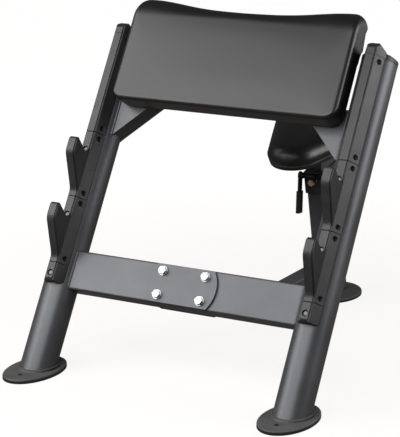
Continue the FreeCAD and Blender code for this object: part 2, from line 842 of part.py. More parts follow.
def arm_pad():
    """Three lofts end to end: the long middle, and two ends whose sections draw in to round them."""
    full = pad_half_width - pad_end_round
    ends = []
    for turn in pad_end_turns:
        angle = math.radians(turn)
        ends.append((full + pad_end_round * math.sin(angle), pad_end_draw * (1 - math.cos(angle))))
    pad = Part.makeLoft([pad_section(x, 0.0) for x in (-full, 0.0, full)], True, False)
    for sign in (-1, 1):
        pad = pad.fuse(Part.makeLoft([pad_section(sign * x, inset) for x, inset in ends], True, False))
    return pad


export("arm_pad", lean(arm_pad()))

board_half = pad_half_width - board_inset
pad_board = block(-board_half, board_half, board_front + pad_clearance, strap_front, board_low, board_top)
board_round = pad_end_round - board_inset
pad_board = fillet_where(pad_board, board_round,
                         lambda p: abs(p.x) > board_half - pick_margin and p.z < board_low + pick_margin)
pad_bolts = []
for side, x in (("left", -strap_offset), ("right", strap_offset)):
    strap = block(x - strap_width / 2, x + strap_width / 2, strap_front, beam_front,
                  cross_level + cross_corner, strap_top)
    for level in pad_bolt_levels:
        tip = Vector(x, strap_front - pad_bolt_bite, level)
        seat = Vector(x, beam_front, level)
        strap = strap.cut(rod(pad_bolt_radius + bolt_clearance, tip, seat))
        pad_board = pad_board.cut(rod(pad_bolt_radius + bolt_clearance, tip, seat))
        head = hexagon(pad_bolt_flats, seat, Vector(x, beam_front + pad_bolt_head, level))
        pad_bolts.append(lean(head.fuse(rod(pad_bolt_radius, tip, seat))))
    export(side + "_pad_strap", lean(strap))
export("pad_board", lean(pad_board))
export("pad_bolts", *pad_bolts)

# Rear post: rectangular tube that leans towards the uprights and guides the seat tube.
collar_half_w = post_half_w + collar_wall
collar_half_d = post_half_d + collar_wall
lock_front = -collar_half_d
bush_back = -(post_half_d - post_wall)
lock_bore = rod(bush_radius, Vector(0, -post_depth, lock_level), Vector(0, 0, lock_level))
post = box_tube(post_width, post_depth, post_wall, post_corner, -foot_length, post_length)
post = cut_beyond(on_post(post.cut(lock_bore)), Vector(0, 0, plate_top), Vector(0, 0, -1))
export("rear_post", post)


def centred_block(width, depth, z0, z1, corner):
    return round_block(-width / 2, width / 2, -depth / 2, depth / 2, z0, z1, corner)


def post_collar():
    """Plastic bush: a sleeve outside the post's top, a rim over its edge and a liner inside it."""
    sleeve = centred_block(2 * collar_half_w, 2 * collar_half_d, post_length - collar_drop, collar_top,
                           collar_corner)
    sleeve = fillet_where(sleeve, collar_rim / 3, lambda p: p.z > collar_top - pick_margin)
    outside = centred_block(post_width + 2 * collar_fit, post_depth + 2 * collar_fit,
                            post_length - collar_drop, post_length + collar_fit, post_corner)
    inside = 2 * (post_wall + collar_fit)
    liner = centred_block(post_width - inside, post_depth - inside, post_length - collar_liner,
                          post_length + collar_rim / 2, post_corner - post_wall)
    bore = centred_block(seat_tube_width + 2 * slide_gap, seat_tube_depth + 2 * slide_gap,
                         post_length - collar_liner, collar_top, seat_tube_corner)
    return sleeve.cut(outside).fuse(liner).cut(bore).cut(lock_bore)


export("post_collar", on_post(post_collar()))


# Seat: a tube that slides in the post, with its bracket, board and pad.
def seat_outline(offset, z):
    """Outline round three circles, a nose and two rear corners, moved outwards by offset."""
    nose = seat_nose_radius + offset
    rear = seat_rear_radius + offset
    run = math.hypot(seat_rear_half, seat_rear_centre - seat_nose_centre)
    bearing = math.atan2(seat_rear_centre - seat_nose_centre, seat_rear_half)
    side = bearing - math.pi / 2 + math.asin((seat_nose_radius - seat_rear_radius) / run)

    def on_circle(cx, cy, radius, angle):
        return Vector(cx + radius * math.cos(angle), cy + radius * math.sin(angle), z)

    def mirrored(point):
        return Vector(-point.x, point.y, z)

    nose_end = on_circle(0, seat_nose_centre, nose, side)
    rear_start = on_circle(seat_rear_half, seat_rear_centre, rear, side)
    rear_mid = on_circle(seat_rear_half, seat_rear_centre, rear, (side + math.pi / 2) / 2)
    rear_end = on_circle(seat_rear_half, seat_rear_centre, rear, math.pi / 2)
    nose_tip = Vector(0, seat_nose_centre - nose, z)
    edges = [
        Part.Arc(mirrored(nose_end), nose_tip, nose_end),
        Part.LineSegment(nose_end, rear_start),
        Part.Arc(rear_start, rear_mid, rear_end),
        Part.LineSegment(rear_end, mirrored(rear_end)),
        Part.Arc(mirrored(rear_end), mirrored(rear_mid), mirrored(rear_start)),
        Part.LineSegment(mirrored(rear_start), mirrored(nose_end)),
    ]
    return Part.Wire([edge.toShape() for edge in edges])


seat_board_top = seat_level + seat_board_thickness
seat_bolt_places = []
for x in (-seat_bolt_across, seat_bolt_across):
    for y in (-seat_bolt_along, seat_bolt_along):
        seat_bolt_places.append((x, y))


def seat_pad():
    """Loft of outlines: drawn in at the board, fullest low down, rounding over to a crowned top."""
    outlines = []
    for share, offset in zip(seat_pad_shares, seat_pad_offsets):
        outlines.append(seat_outline(offset, seat_board_top + pad_clearance + share * seat_pad_height))
    return Part.makeLoft(outlines, True, False)


seat_board = Part.Face(seat_outline(-seat_board_inset, seat_level)).extrude(Vector(0, 0, seat_board_thickness))
half_plate = seat_bracket_width / 2
half_run = seat_bracket_length / 2
bracket = round_block(-half_plate, half_plate, -half_run, half_run, bracket_low, seat_level,
                      2 * seat_bracket_thickness)
seat_bolts = []
for x, y in seat_bolt_places:
    tip = Vector(x, y, seat_level + seat_bolt_bite)
    seat = Vector(x, y, bracket_low)
    clearance_hole = rod(seat_bolt_radius + bolt_clearance, seat, tip)
    bracket = bracket.cut(clearance_hole)
    seat_board = seat_board.cut(clearance_hole)
    head = hexagon(seat_bolt_flats, seat, Vector(x, y, bracket_low - seat_bolt_head))
    seat_bolts.append(on_post(head.fuse(rod(seat_bolt_radius, seat, tip))))
cheek_half = seat_cheek_length / 2
for sign in (-1, 1):
    inner = sign * (seat_tube_width / 2 + weld_gap)
    outer = sign * (seat_tube_width / 2 + weld_gap + seat_cheek_thickness)
    cheek = block(min(inner, outer), max(inner, outer), -cheek_half, cheek_half, cheek_low, bracket_low)
    cheek = fillet_where(cheek, 3 * seat_cheek_thickness,
                         lambda p: abs(p.y) > cheek_half - pick_margin and p.z < cheek_low + pick_margin)
    bracket = bracket.fuse(cheek)
export("seat_bracket", on_post(bracket.removeSplitter()))
export("seat_board", on_post(seat_board))
export("seat_pad", on_post(seat_pad()))
export("seat_bolts", *seat_bolts)

seat_tube = box_tube(seat_tube_width, seat_tube_depth, seat_tube_wall, seat_tube_corner, seat_tube_bottom,
                     bracket_low - weld_gap)
lock_holes = int(seat_travel / lock_pitch + 0.5)
for step in range(1, lock_holes + 1):
    level = lock_level - step * lock_pitch
    seat_tube = seat_tube.cut(rod(lock_hole_radius, Vector(0, -seat_tube_depth, level), Vector(0, 0, level)))
stop_level = seat_tube_bottom + stop_pin_rise
stop_half = post_half_w - post_wall - stop_pin_side_gap
stop_pin = rod(stop_pin_radius, Vector(-stop_half, 0, stop_level), Vector(stop_half, 0, stop_level))
seat_tube = seat_tube.cut(stop_pin)
export("seat_tube", on_post(seat_tube))
export("stop_pin", on_post(stop_pin))

# Seat lock on the collar's front: a plunger in a flanged bush, pulled by a fork on a cross shaft that the
# hanging lever turns.
bush_front = lock_front - bush_flange_thickness
inner_flange = bush_front - bush_to_flange
groove_back = inner_flange - plunger_flange_thickness
groove_front = groove_back - groove_width
plunger_end = groove_front - plunger_flange_thickness
groove_centre = (groove_back + groove_front) / 2
shaft_level = lock_level + shaft_rise


def on_lock_axis(y):
    return Vector(0, y, lock_level)


bush = rod(bush_radius, on_lock_axis(bush_back), on_lock_axis(lock_front))
bush = bush.fuse(rod(bush_flange_radius, on_lock_axis(lock_front), on_lock_axis(bush_front)))
bush = bush.cut(rod(plunger_radius + running_gap, on_lock_axis(bush_back), on_lock_axis(bush_front)))
export("plunger_bush", on_post(bush))

plunger_tip = -seat_tube_depth / 2 - plunger_gap
plunger = rod(plunger_radius, on_lock_axis(plunger_tip), on_lock_axis(inner_flange))
plunger = plunger.fuse(rod(plunger_flange_radius, on_lock_axis(inner_flange), on_lock_axis(groove_back)))
plunger = plunger.fuse(rod(plunger_core_radius, on_lock_axis(groove_back), on_lock_axis(groove_front)))
plunger = plunger.fuse(rod(plunger_flange_radius, on_lock_axis(groove_front), on_lock_axis(plunger_end)))
export("lock_plunger", on_post(plunger))


def on_shaft(x):
    return Vector(x, groove_centre, shaft_level)


ear_outer = ear_inner + ear_thickness
lever_right = -ear_outer - lever_gap
lever_left = lever_right - lever_thickness
clip_left = ear_outer + lever_gap / 4
shaft_right = clip_left + clip_thickness + shaft_end
shaft_left = lever_left
shaft = rod(shaft_radius, on_shaft(shaft_left), on_shaft(shaft_right))
clip_bore = shaft_radius - clip_groove
groove_ring = rod(clip_radius, on_shaft(clip_left), on_shaft(clip_left + clip_thickness))
groove_ring = groove_ring.cut(rod(clip_bore, on_shaft(clip_left), on_shaft(clip_left + clip_thickness)))
shaft = shaft.cut(groove_ring)
export("lever_shaft", on_post(shaft))
clip_mouth_half = clip_bore * clip_mouth_share
clip_mouth = block(clip_left, clip_left + clip_thickness, groove_centre - clip_mouth_half,
                   groove_centre + clip_mouth_half, shaft_level, shaft_level + 2 * clip_radius)
export("shaft_clip", on_post(groove_ring.cut(clip_mouth)))


def lever_bracket():
    """Back plate on the collar with two round-nosed ears for the shaft."""
    low = lock_level + bush_flange_radius + bush_to_bracket
    high = collar_top - collar_rim / 2
    plate = block(-ear_outer, ear_outer, lock_front - bracket_thickness, lock_front, low, high)
    for sign in (-1, 1):
        inner = sign * ear_inner
        outer = sign * ear_outer
        ear = block(min(inner, outer), max(inner, outer), groove_centre, lock_front, low, high)
        ear = ear.fuse(rod(ear_round, on_shaft(inner), on_shaft(outer)))
        plate = plate.fuse(ear)
    bore = rod(shaft_radius + running_gap, on_shaft(-ear_outer), on_shaft(ear_outer))
    return plate.cut(bore).removeSplitter()


export("lever_bracket", on_post(lever_bracket()))


def release_fork():
    """Hub on the shaft with two arms down either side of the plunger and a round prong in its groove."""
    fork = rod(fork_hub_radius, on_shaft(-fork_hub_half), on_shaft(fork_hub_half))
    arm_inner = plunger_flange_radius + prong_gap / 2
    for sign in (-1, 1):
        inner = sign * arm_inner
        outer = sign * (arm_inner + fork_arm_thickness)
        arm = block(min(inner, outer), max(inner, outer), groove_centre - prong_radius,
                    groove_centre + prong_radius, lock_level - prong_radius, shaft_level)
        near = Vector(sign * (plunger_core_radius + prong_gap), groove_centre, lock_level)
        arm = arm.fuse(rod(prong_radius, near, Vector(outer, groove_centre, lock_level)))
        fork = fork.fuse(arm)
    return fork.cut(rod(shaft_radius, on_shaft(-fork_hub_half), on_shaft(fork_hub_half))).removeSplitter()


export("release_fork", on_post(release_fork()))


def lever_strip(x0, x1, margin, start, end):
    """Straight part of the lever from one distance below the shaft to another, hanging down and forwards."""
    strip = block(x0, x1, -lever_width / 2 - margin, lever_width / 2 + margin, -end, -start)
    strip.rotate(ORIGIN, X_AXIS, -lever_forward)
    strip.translate(Vector(0, groove_centre, shaft_level))
    return strip


lever = lever_strip(lever_left, lever_right, 0.0, 0.0, lever_length)
lever = lever.fuse(rod(lever_eye_radius, on_shaft(lever_left), on_shaft(lever_right)))
lever = lever.cut(rod(shaft_radius, on_shaft(lever_left), on_shaft(lever_right))).removeSplitter()
export("release_lever", on_post(lever))
grip_start = lever_length - grip_length
grip_margin = grip_fit + grip_wall
grip = lever_strip(lever_left - grip_margin, lever_right + grip_margin, grip_margin, grip_start,
                   lever_length + grip_wall)
grip = grip.makeFillet(grip_wall, [edge for edge in grip.Edges if edge.Length > grip_length / 2])
grip = grip.cut(lever_strip(lever_left - grip_fit, lever_right + grip_fit, grip_fit, grip_start,
                            lever_length + grip_fit))
export("lever_grip", on_post(grip))


# Return spring: a few turns of wire round the shaft, between the left ear and the fork.
def return_spring():
    """One unbroken tube swept along arcs of a quarter turn on a helix about the shaft."""
    start_x = -ear_inner + 2 * spring_wire
    quarters = 4 * spring_turns

    def at(turns):
        angle = 2 * math.pi * turns
        return Vector(start_x + spring_pitch * turns, groove_centre + spring_radius * math.cos(angle),
                      shaft_level + spring_radius * math.sin(angle))

    arcs = []
    for quarter in range(quarters):
        begin = quarter / 4
        arcs.append(Part.Arc(at(begin), at(begin + 0.125), at(begin + 0.25)).toShape())
    path = Part.Wire(arcs)
    ring = Part.Circle(at(0), arcs[0].tangentAt(arcs[0].FirstParameter), spring_wire)
    shell = path.makePipeShell([Part.Wire(ring.toShape())], True, False)
    samples = [at(step / 24) for step in range(24 * spring_turns + 1)]
    least = min(samples[i].distanceToPoint(samples[j])
                for i in range(len(samples)) for j in range(i + 18, len(samples)))
    print("return spring, least gap between turns:", round(least - 2 * spring_wire, 2))
    return shell


export("return_spring", on_post(return_spring()))
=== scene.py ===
"""Looks of a preacher curl bench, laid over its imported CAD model. Metres, +Z up, +Y towards the seat."""

import math

import bpy
import numpy as np
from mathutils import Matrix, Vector


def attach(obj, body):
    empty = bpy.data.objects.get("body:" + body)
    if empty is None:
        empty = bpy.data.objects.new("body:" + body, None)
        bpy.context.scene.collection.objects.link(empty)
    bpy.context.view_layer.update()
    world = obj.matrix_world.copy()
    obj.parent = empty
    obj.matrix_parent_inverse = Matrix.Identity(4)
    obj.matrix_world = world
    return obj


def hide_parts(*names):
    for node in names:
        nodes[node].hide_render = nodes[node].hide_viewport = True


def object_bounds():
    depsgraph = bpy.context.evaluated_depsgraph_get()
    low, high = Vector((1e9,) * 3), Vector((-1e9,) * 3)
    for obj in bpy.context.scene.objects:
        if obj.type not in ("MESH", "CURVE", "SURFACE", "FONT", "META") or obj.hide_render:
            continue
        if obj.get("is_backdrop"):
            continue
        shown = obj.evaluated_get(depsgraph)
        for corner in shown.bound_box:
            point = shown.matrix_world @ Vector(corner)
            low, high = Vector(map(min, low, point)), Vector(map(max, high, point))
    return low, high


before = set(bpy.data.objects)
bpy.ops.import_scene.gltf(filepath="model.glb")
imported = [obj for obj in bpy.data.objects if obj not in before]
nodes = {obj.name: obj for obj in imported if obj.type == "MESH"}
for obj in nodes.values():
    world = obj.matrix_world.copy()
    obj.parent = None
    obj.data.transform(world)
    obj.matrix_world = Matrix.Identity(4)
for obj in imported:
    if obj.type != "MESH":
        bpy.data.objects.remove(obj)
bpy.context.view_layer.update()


# Frame: two leaning round uprights, a crossbeam, a cross tube on gussets, the spine and the seat post. All are
# welded or bolted steel tube and plate under one coat of powder paint.
def srgb(code):
    """A hex colour as the linear red, green, blue and alpha that shaders use."""
    values = np.array([int(code[i:i + 2], 16) for i in (1, 3, 5)]) / 255
    linear = np.where(values <= 0.04045, values / 12.92, ((values + 0.055) / 1.055) ** 2.4)
    return (*linear.tolist(), 1.0)


def add(tree, kind, settings=None, **inputs):
    """Add one shader node. Each input is a constant or another node's output; in0, in1 count its sockets."""
    node = tree.nodes.new("ShaderNode" + kind)
    for key, value in (settings or {}).items():
        setattr(node, key, value)
    for key, value in inputs.items():
        socket = node.inputs[int(key[2:])] if key[:2] == "in" else node.inputs[key.replace("_", " ")]
        if isinstance(value, bpy.types.NodeSocket):
            tree.links.new(value, socket)
        else:
            socket.default_value = value
    return node


def new_material(name):
    """An empty node material and its tree."""
    material = bpy.data.materials.new(name)
    material.use_nodes = True
    material.node_tree.nodes.clear()
    return material, material.node_tree


def blend_colours(tree, share, dark, light, low=0.35, high=0.65):
    """A colour that runs from dark to light as a share goes from low to high."""
    ramp = add(tree, "ValToRGB", Fac=share)
    for stop, place, colour in zip(ramp.color_ramp.elements, (low, high), (dark, light)):
        stop.position = place
        stop.color = srgb(colour)
    return ramp.outputs["Color"]


def dress(names, material):
    """Give CAD nodes a material."""
    for name in names:
        nodes[name].data.materials.clear()
        nodes[name].data.materials.append(material)


# Gunmetal powder coat, sprayed and baked on steel: satin, with orange peel. The peel is drawn at 2.6 mm, about
# twice its real size, so that it shows.
powder_coat, tree = new_material("powder_coat")
place = add(tree, "TexCoord").outputs["Object"]
cloud = add(tree, "TexNoise", Vector=place, Scale=1000 / 130, Detail=3.0).outputs["Fac"]
peel = add(tree, "TexNoise", Vector=place, Scale=1000 / 2.6, Detail=2.0).outputs["Fac"]
edge = add(tree, "Bevel", {"samples": 4}, Radius=0.0014).outputs["Normal"]
bump = add(tree, "Bump", Height=peel, Distance=0.00012, Normal=edge).outputs["Normal"]
shine = add(tree, "MapRange", Value=cloud, From_Min=0.3, From_Max=0.7, To_Min=0.35, To_Max=0.42).outputs["Result"]
paint = add(tree, "BsdfPrincipled", Base_Color=blend_colours(tree, cloud, "#5a5b5e", "#646568"), Roughness=shine,
            Metallic=0.5, Normal=bump)
add(tree, "OutputMaterial", Surface=paint.outputs["BSDF"])
dress(["left_upright", "right_upright", "crossbeam", "clamp_plate", "spine_flange", "spine_front_tube",
       "spine_rear_tube", "rear_post", "pad_cross_tube", "left_gusset", "right_gusset", "left_pad_strap",
       "right_pad_strap", "seat_bracket", "left_base_plate", "right_base_plate", "rear_base_plate"], powder_coat)

# Weld beads: a run of weld down each edge where the crossbeam, the cross tube and the gussets meet the round
# uprights, painted with the frame.
LEAN = math.radians(31.0)
FRONT_FOOT = -0.47315


def on_upright(x, n, u):
    """Points in the bench, from millimetres across it, in front of the uprights' axes and up along them."""
    x, n, u = np.broadcast_arrays(x, n, u)
    y = FRONT_FOOT + (u * math.sin(LEAN) - n * math.cos(LEAN)) / 1000
    z = (u * math.cos(LEAN) + n * math.sin(LEAN)) / 1000
    return np.stack([x / 1000, y, z], -1)


def ring_mesh(name, rings, closed):
    """A mesh from an array of rings of points, each ring closed on itself.

    Quad (i, j) joins ring i to ring i + 1 between places j and j + 1. Where the run isn't closed, its first and
    last rings are shut by fans to their middles.
    """
    count, ring = rings.shape[:2]
    index = np.arange(count * ring).reshape(count, ring)
    after = np.roll(index, -1, 1)
    ahead, ahead_after = np.roll(index, -1, 0), np.roll(after, -1, 0)
    quads = np.stack([index, after, ahead_after, ahead], -1)
    points = rings.reshape(-1, 3)
    if closed:
        faces = quads.reshape(-1, 4).tolist()
    else:
        first, last = len(points), len(points) + 1
        points = np.concatenate([points, rings[:1].mean(1), rings[-1:].mean(1)])
        faces = quads[:-1].reshape(-1, 4).tolist()
        faces += np.stack([after[0], index[0], np.full(ring, first)], -1).tolist()
        faces += np.stack([index[-1], after[-1], np.full(ring, last)], -1).tolist()
    mesh = bpy.data.meshes.new(name)
    mesh.from_pydata(points.tolist(), [], faces)
    mesh.polygons.foreach_set("use_smooth", np.ones(len(mesh.polygons), bool))
    mesh.update()
    piece = bpy.data.objects.new(name, mesh)
    bpy.context.scene.collection.objects.link(piece)
    return piece


def bead(x, n, low, high):
    """Rings of a weld bead up an upright: round, 3.2 mm in radius, swelling by a tenth every 5 mm."""
    along = np.linspace(low, high, int((high - low) / 1.25) + 1)[:, None]
    turn = np.linspace(0, 2 * math.pi, 10, endpoint=False)[None, :]
    end = np.sqrt(np.clip(np.minimum(along - low, high - along) / 3 + 0.05, 0, 1))
    radius = 3.2 * end * (1 + 0.1 * np.sin(2 * math.pi * along / 5))
    return on_upright(x + radius * np.cos(turn), n - radius * np.sin(turn), along)


for side, sign in (("left", -1), ("right", 1)):
    for name, low, high in (("beam", 214, 308), ("gusset", 619, 741)):
        for face, n in (("front", 25), ("back", -25)):
            weld = ring_mesh(f"{side}_{name}_{face}_weld", bead(sign * 313.2, n, low, high), False)
            weld.data.materials.append(powder_coat)
            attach(weld, "frame")

# Feet: thin moulded rubber boots snapped over the steel base plates, with a lip round the tube and a hole for
# an anchor bolt.
# Moulded rubber: matt charcoal with a faint dusty mottle, its steep sides darkened to #2a2a2a as painted shade, with
# a coarse mould grain drawn at 3 mm so that it shows.
boot_rubber, tree = new_material("moulded_rubber")
place = add(tree, "TexCoord").outputs["Object"]
dust = add(tree, "TexNoise", Vector=place, Scale=1000 / 45, Detail=4.0).outputs["Fac"]
grain = add(tree, "TexNoise", Vector=place, Scale=1000 / 3, Detail=2.0).outputs["Fac"]
edge = add(tree, "Bevel", {"samples": 4}, Radius=0.0015).outputs["Normal"]
bump = add(tree, "Bump", Height=grain, Distance=0.00015, Normal=edge).outputs["Normal"]
# Painted shade: faces that turn from up towards the side fade to dark grey, standing in for the shade on the boots'
# side walls.
rise = add(tree, "SeparateXYZ", Vector=add(tree, "NewGeometry").outputs["Normal"]).outputs["Z"]
side_shade_mask = add(tree, "MapRange", Value=rise, From_Min=0.1, From_Max=0.6).outputs["Result"]
shade = add(tree, "Mix", {"data_type": "RGBA"}, in0=side_shade_mask, in6=srgb("#2a2a2a"),
            in7=blend_colours(tree, dust, "#545454", "#606060")).outputs[2]
rubber = add(tree, "BsdfPrincipled", Base_Color=shade, Roughness=0.55, Normal=bump)
add(tree, "OutputMaterial", Surface=rubber.outputs["BSDF"])
dress(["left_foot_boot", "right_foot_boot", "rear_foot_boot"], boot_rubber)

# Bar rails: black moulded end blocks, bar rests and covers, end to end down the front of each upright, with a cap
# over the top of the tube. Screws hold them to the steel.
# Glass-filled nylon from a spark-eroded mould: near black and dull. The grain is drawn at 2.4 mm so that it shows.
rail_plastic, tree = new_material("glass_filled_nylon")
place = add(tree, "TexCoord").outputs["Object"]
flow = add(tree, "TexNoise", Vector=place, Scale=1000 / 30, Detail=3.0).outputs["Fac"]
grain = add(tree, "TexNoise", Vector=place, Scale=1000 / 2.4, Detail=3.0, Roughness=0.7).outputs["Fac"]
edge = add(tree, "Bevel", {"samples": 4}, Radius=0.0018).outputs["Normal"]
bump = add(tree, "Bump", Height=grain, Distance=0.00025, Normal=edge).outputs["Normal"]
shine = add(tree, "MapRange", Value=flow, From_Min=0.3, From_Max=0.7, To_Min=0.38, To_Max=0.48).outputs["Result"]
nylon = add(tree, "BsdfPrincipled", Base_Color=blend_colours(tree, flow, "#2b2b2d", "#333335"), Roughness=shine,
            Specular_IOR_Level=0.62, Normal=bump)
add(tree, "OutputMaterial", Surface=nylon.outputs["BSDF"])
dress([side + piece for side in ("left_", "right_")
       for piece in ("rail_end_block", "lower_bar_rest", "upper_bar_rest", "rail_cover", "top_cap")], rail_plastic)
dress(["post_collar"], rail_plastic)

# Fasteners: zinc-plated hexagon bolts, washers and nuts through the clamp plate, zinc screws in the bar cradles,
# and black screws sunk in the rails' sides.
# Bright zinc plate: silver with soft cloudy highlights, as plated and not polished.
bright_zinc, tree = new_material("bright_zinc")
place = add(tree, "TexCoord").outputs["Object"]
cloud = add(tree, "TexNoise", Vector=place, Scale=1000 / 6, Detail=3.0).outputs["Fac"]
edge = add(tree, "Bevel", {"samples": 4}, Radius=0.0008).outputs["Normal"]
shine = add(tree, "MapRange", Value=cloud, From_Min=0.3, From_Max=0.7, To_Min=0.24, To_Max=0.4).outputs["Result"]
zinc = add(tree, "BsdfPrincipled", Base_Color=blend_colours(tree, cloud, "#b4b5b8", "#d2d2d0"), Roughness=shine,
           Metallic=1.0, Normal=edge)
add(tree, "OutputMaterial", Surface=zinc.outputs["BSDF"])
dress(["beam_bolts", "beam_washers", "beam_nuts", "pad_bolts", "seat_bolts", "stop_pin"], bright_zinc)
# Black oxide: blue-black steel with a thin oil sheen, worn a little lighter in places.
black_oxide, tree = new_material("black_oxide")
place = add(tree, "TexCoord").outputs["Object"]
wear = add(tree, "TexNoise", Vector=place, Scale=1000 / 9, Detail=4.0).outputs["Fac"]
edge = add(tree, "Bevel", {"samples": 4}, Radius=0.0008).outputs["Normal"]
shine = add(tree, "MapRange", Value=wear, From_Min=0.3, From_Max=0.7, To_Min=0.32, To_Max=0.46).outputs["Result"]
steel = add(tree, "BsdfPrincipled", Base_Color=blend_colours(tree, wear, "#222325", "#303133", 0.4, 0.75),
            Roughness=shine, Metallic=0.7, Normal=edge)
add(tree, "OutputMaterial", Surface=steel.outputs["BSDF"])
dress(["rail_side_screws"], black_oxide)
# Dull nickel plate: grey, with soft broad highlights.
dull_nickel, tree = new_material("dull_nickel")
place = add(tree, "TexCoord").outputs["Object"]
streak = add(tree, "TexNoise", Vector=place, Scale=1000 / 7, Detail=3.0).outputs["Fac"]
edge = add(tree, "Bevel", {"samples": 4}, Radius=0.0008).outputs["Normal"]
shine = add(tree, "MapRange", Value=streak, From_Min=0.3, From_Max=0.7, To_Min=0.4, To_Max=0.5).outputs["Result"]
nickel = add(tree, "BsdfPrincipled", Base_Color=blend_colours(tree, streak, "#5c5d5f", "#727271"), Roughness=shine,
             Metallic=1.0, Normal=edge)
add(tree, "OutputMaterial", Surface=nickel.outputs["BSDF"])
dress(["rail_front_screws", "seat_tube"], dull_nickel)

# Arm pad: foam on a plywood board, under black vinyl that is pulled round the board's edges and stapled behind,
# where a dust cloth covers the staples. It is bolted through two straps to the cross tube.
# Upholstery vinyl: black, with a satin sheen from its embossed leather grain, drawn at 2.2 mm so that it shows.
pad_vinyl, tree = new_material("upholstery_vinyl")
place = add(tree, "TexCoord").outputs["Object"]
cells = add(tree, "TexVoronoi", {"feature": "SMOOTH_F1"}, Vector=place, Scale=1000 / 2.2, Smoothness=0.6)
stretch = add(tree, "TexNoise", Vector=place, Scale=1000 / 160, Detail=2.0).outputs["Fac"]
bump = add(tree, "Bump", Height=cells.outputs["Distance"], Distance=0.00008).outputs["Normal"]
shine = add(tree, "MapRange", Value=stretch, From_Min=0.3, From_Max=0.7, To_Min=0.36, To_Max=0.41).outputs["Result"]
vinyl = add(tree, "BsdfPrincipled", Base_Color=blend_colours(tree, stretch, "#0d0d0e", "#121213"), Roughness=shine,
            Specular_IOR_Level=0.76, Normal=bump)
add(tree, "OutputMaterial", Surface=vinyl.outputs["BSDF"])
# Dust cloth: spun-bonded black polypropylene, quite matt, with a faint dimple pattern every 4 mm.
dust_cloth, tree = new_material("spun_bonded_cloth")
place = add(tree, "TexCoord").outputs["Object"]
dimples = add(tree, "TexVoronoi", Vector=place, Scale=1000 / 4, Randomness=0.15).outputs["Distance"]
bump = add(tree, "Bump", Height=dimples, Distance=0.0002).outputs["Normal"]
felt = add(tree, "BsdfPrincipled", Base_Color=blend_colours(tree, dimples, "#121212", "#1a1a1a", 0.1, 0.5),
           Roughness=0.85, Specular_IOR_Level=0.2, Normal=bump)
add(tree, "OutputMaterial", Surface=felt.outputs["BSDF"])


def curve(count, *ends):
    """Points from the first end to before the last: a straight line for two ends, a cubic Bezier for four."""
    t = np.arange(count)[:, None, None] / count
    if len(ends) == 2:
        return ends[0] * (1 - t) + ends[1] * t
    return (ends[0] * (1 - t) ** 3 + 3 * ends[1] * t * (1 - t) ** 2 + 3 * ends[2] * t ** 2 * (1 - t)
            + ends[3] * t ** 3)


PAD_HALF = 311.0


def arm_pad_rings():
    """Side sections of the arm pad, ring by ring across the bench, in millimetres across, forward and up.

    The top of the roll is 266 over the bottom edge in the middle and rises to 286 by half a cosine wave of the
    1.5th power of the distance, done at 275 from the middle. The face stays flat up to 231 in the middle and 226
    at the ends. Its outline has 34 mm corners below and 28 mm above. Each end turns in by a 14 mm round in front
    and a 30 mm round behind to a flat side panel. The section runs up the back, out under the chest side, up it,
    over the roll, down the face and back along the bottom.
    """
    half, bottom = PAD_HALF, 699.0
    bend = 0.5523  # share of a corner that makes a Bezier curve a quarter circle
    turn = np.linspace(0, math.pi / 2, 18)[1:]
    ends = half - 34 + 34 * np.sin(turn)
    x = np.concatenate([-ends[::-1], np.linspace(-277, 277, 110), ends])

    def corner(radius):
        run = np.clip(np.abs(x) - (half - radius), 0, radius)
        return radius - np.sqrt(radius ** 2 - run ** 2)

    def at(n, u):
        return np.stack(np.broadcast_arrays(n, u, x), -1)[:, :2]

    draw = corner(14.0)
    far = 0.5 - 0.5 * np.cos(math.pi * np.minimum(np.abs(x) / 275, 1) ** 1.5)
    top = bottom + 266 + 20 * far - corner(28.0)
    low = bottom + corner(34.0)
    face, back, chest = 89 - draw, 31.8 + 0.2 * draw, corner(30.0)
    crest, roll = face - 48, bottom + 231 - 5 * far
    section = np.concatenate([
        curve(24, at(back, low + 4), at(back, 858)),
        curve(9, at(back, 858), at(back - 8, 868), at(chest + 12, 885), at(chest, 905)),
        curve(16, at(chest, 905), at(chest + 8, 935), at(chest + 10, top), at(crest, top)),
        curve(16, at(crest, top), at(crest + 48 * bend, top), at(face, roll + (top - roll) * bend), at(face, roll)),
        curve(44, at(face, roll), at(face, low + 9)),
        curve(7, at(face, low + 9), at(face, low + 9 * (1 - bend)), at(face - 9 * (1 - bend), low),
              at(face - 9, low)),
        curve(8, at(face - 9, low), at(back + 4, low)),
        curve(4, at(back + 4, low), at(back + 1.5, low), at(back, low + 1.5), at(back, low + 4)),
    ])
    n, u = section[..., 0].T, section[..., 1].T
    share = np.linspace(0.9, 0.06, 9)[:, None]
    cap_n, cap_u = 50 + (n[-1] - 50) * share, 893 + (u[-1] - 893) * share
    cap_x = np.broadcast_to(half + 0.5 * (1 - share ** 2), cap_n.shape)
    across = np.broadcast_to(x[:, None], n.shape)
    return np.stack([np.concatenate([-cap_x[::-1], across, cap_x]), np.concatenate([cap_n[::-1], n, cap_n]),
                     np.concatenate([cap_u[::-1], u, cap_u])], -1)


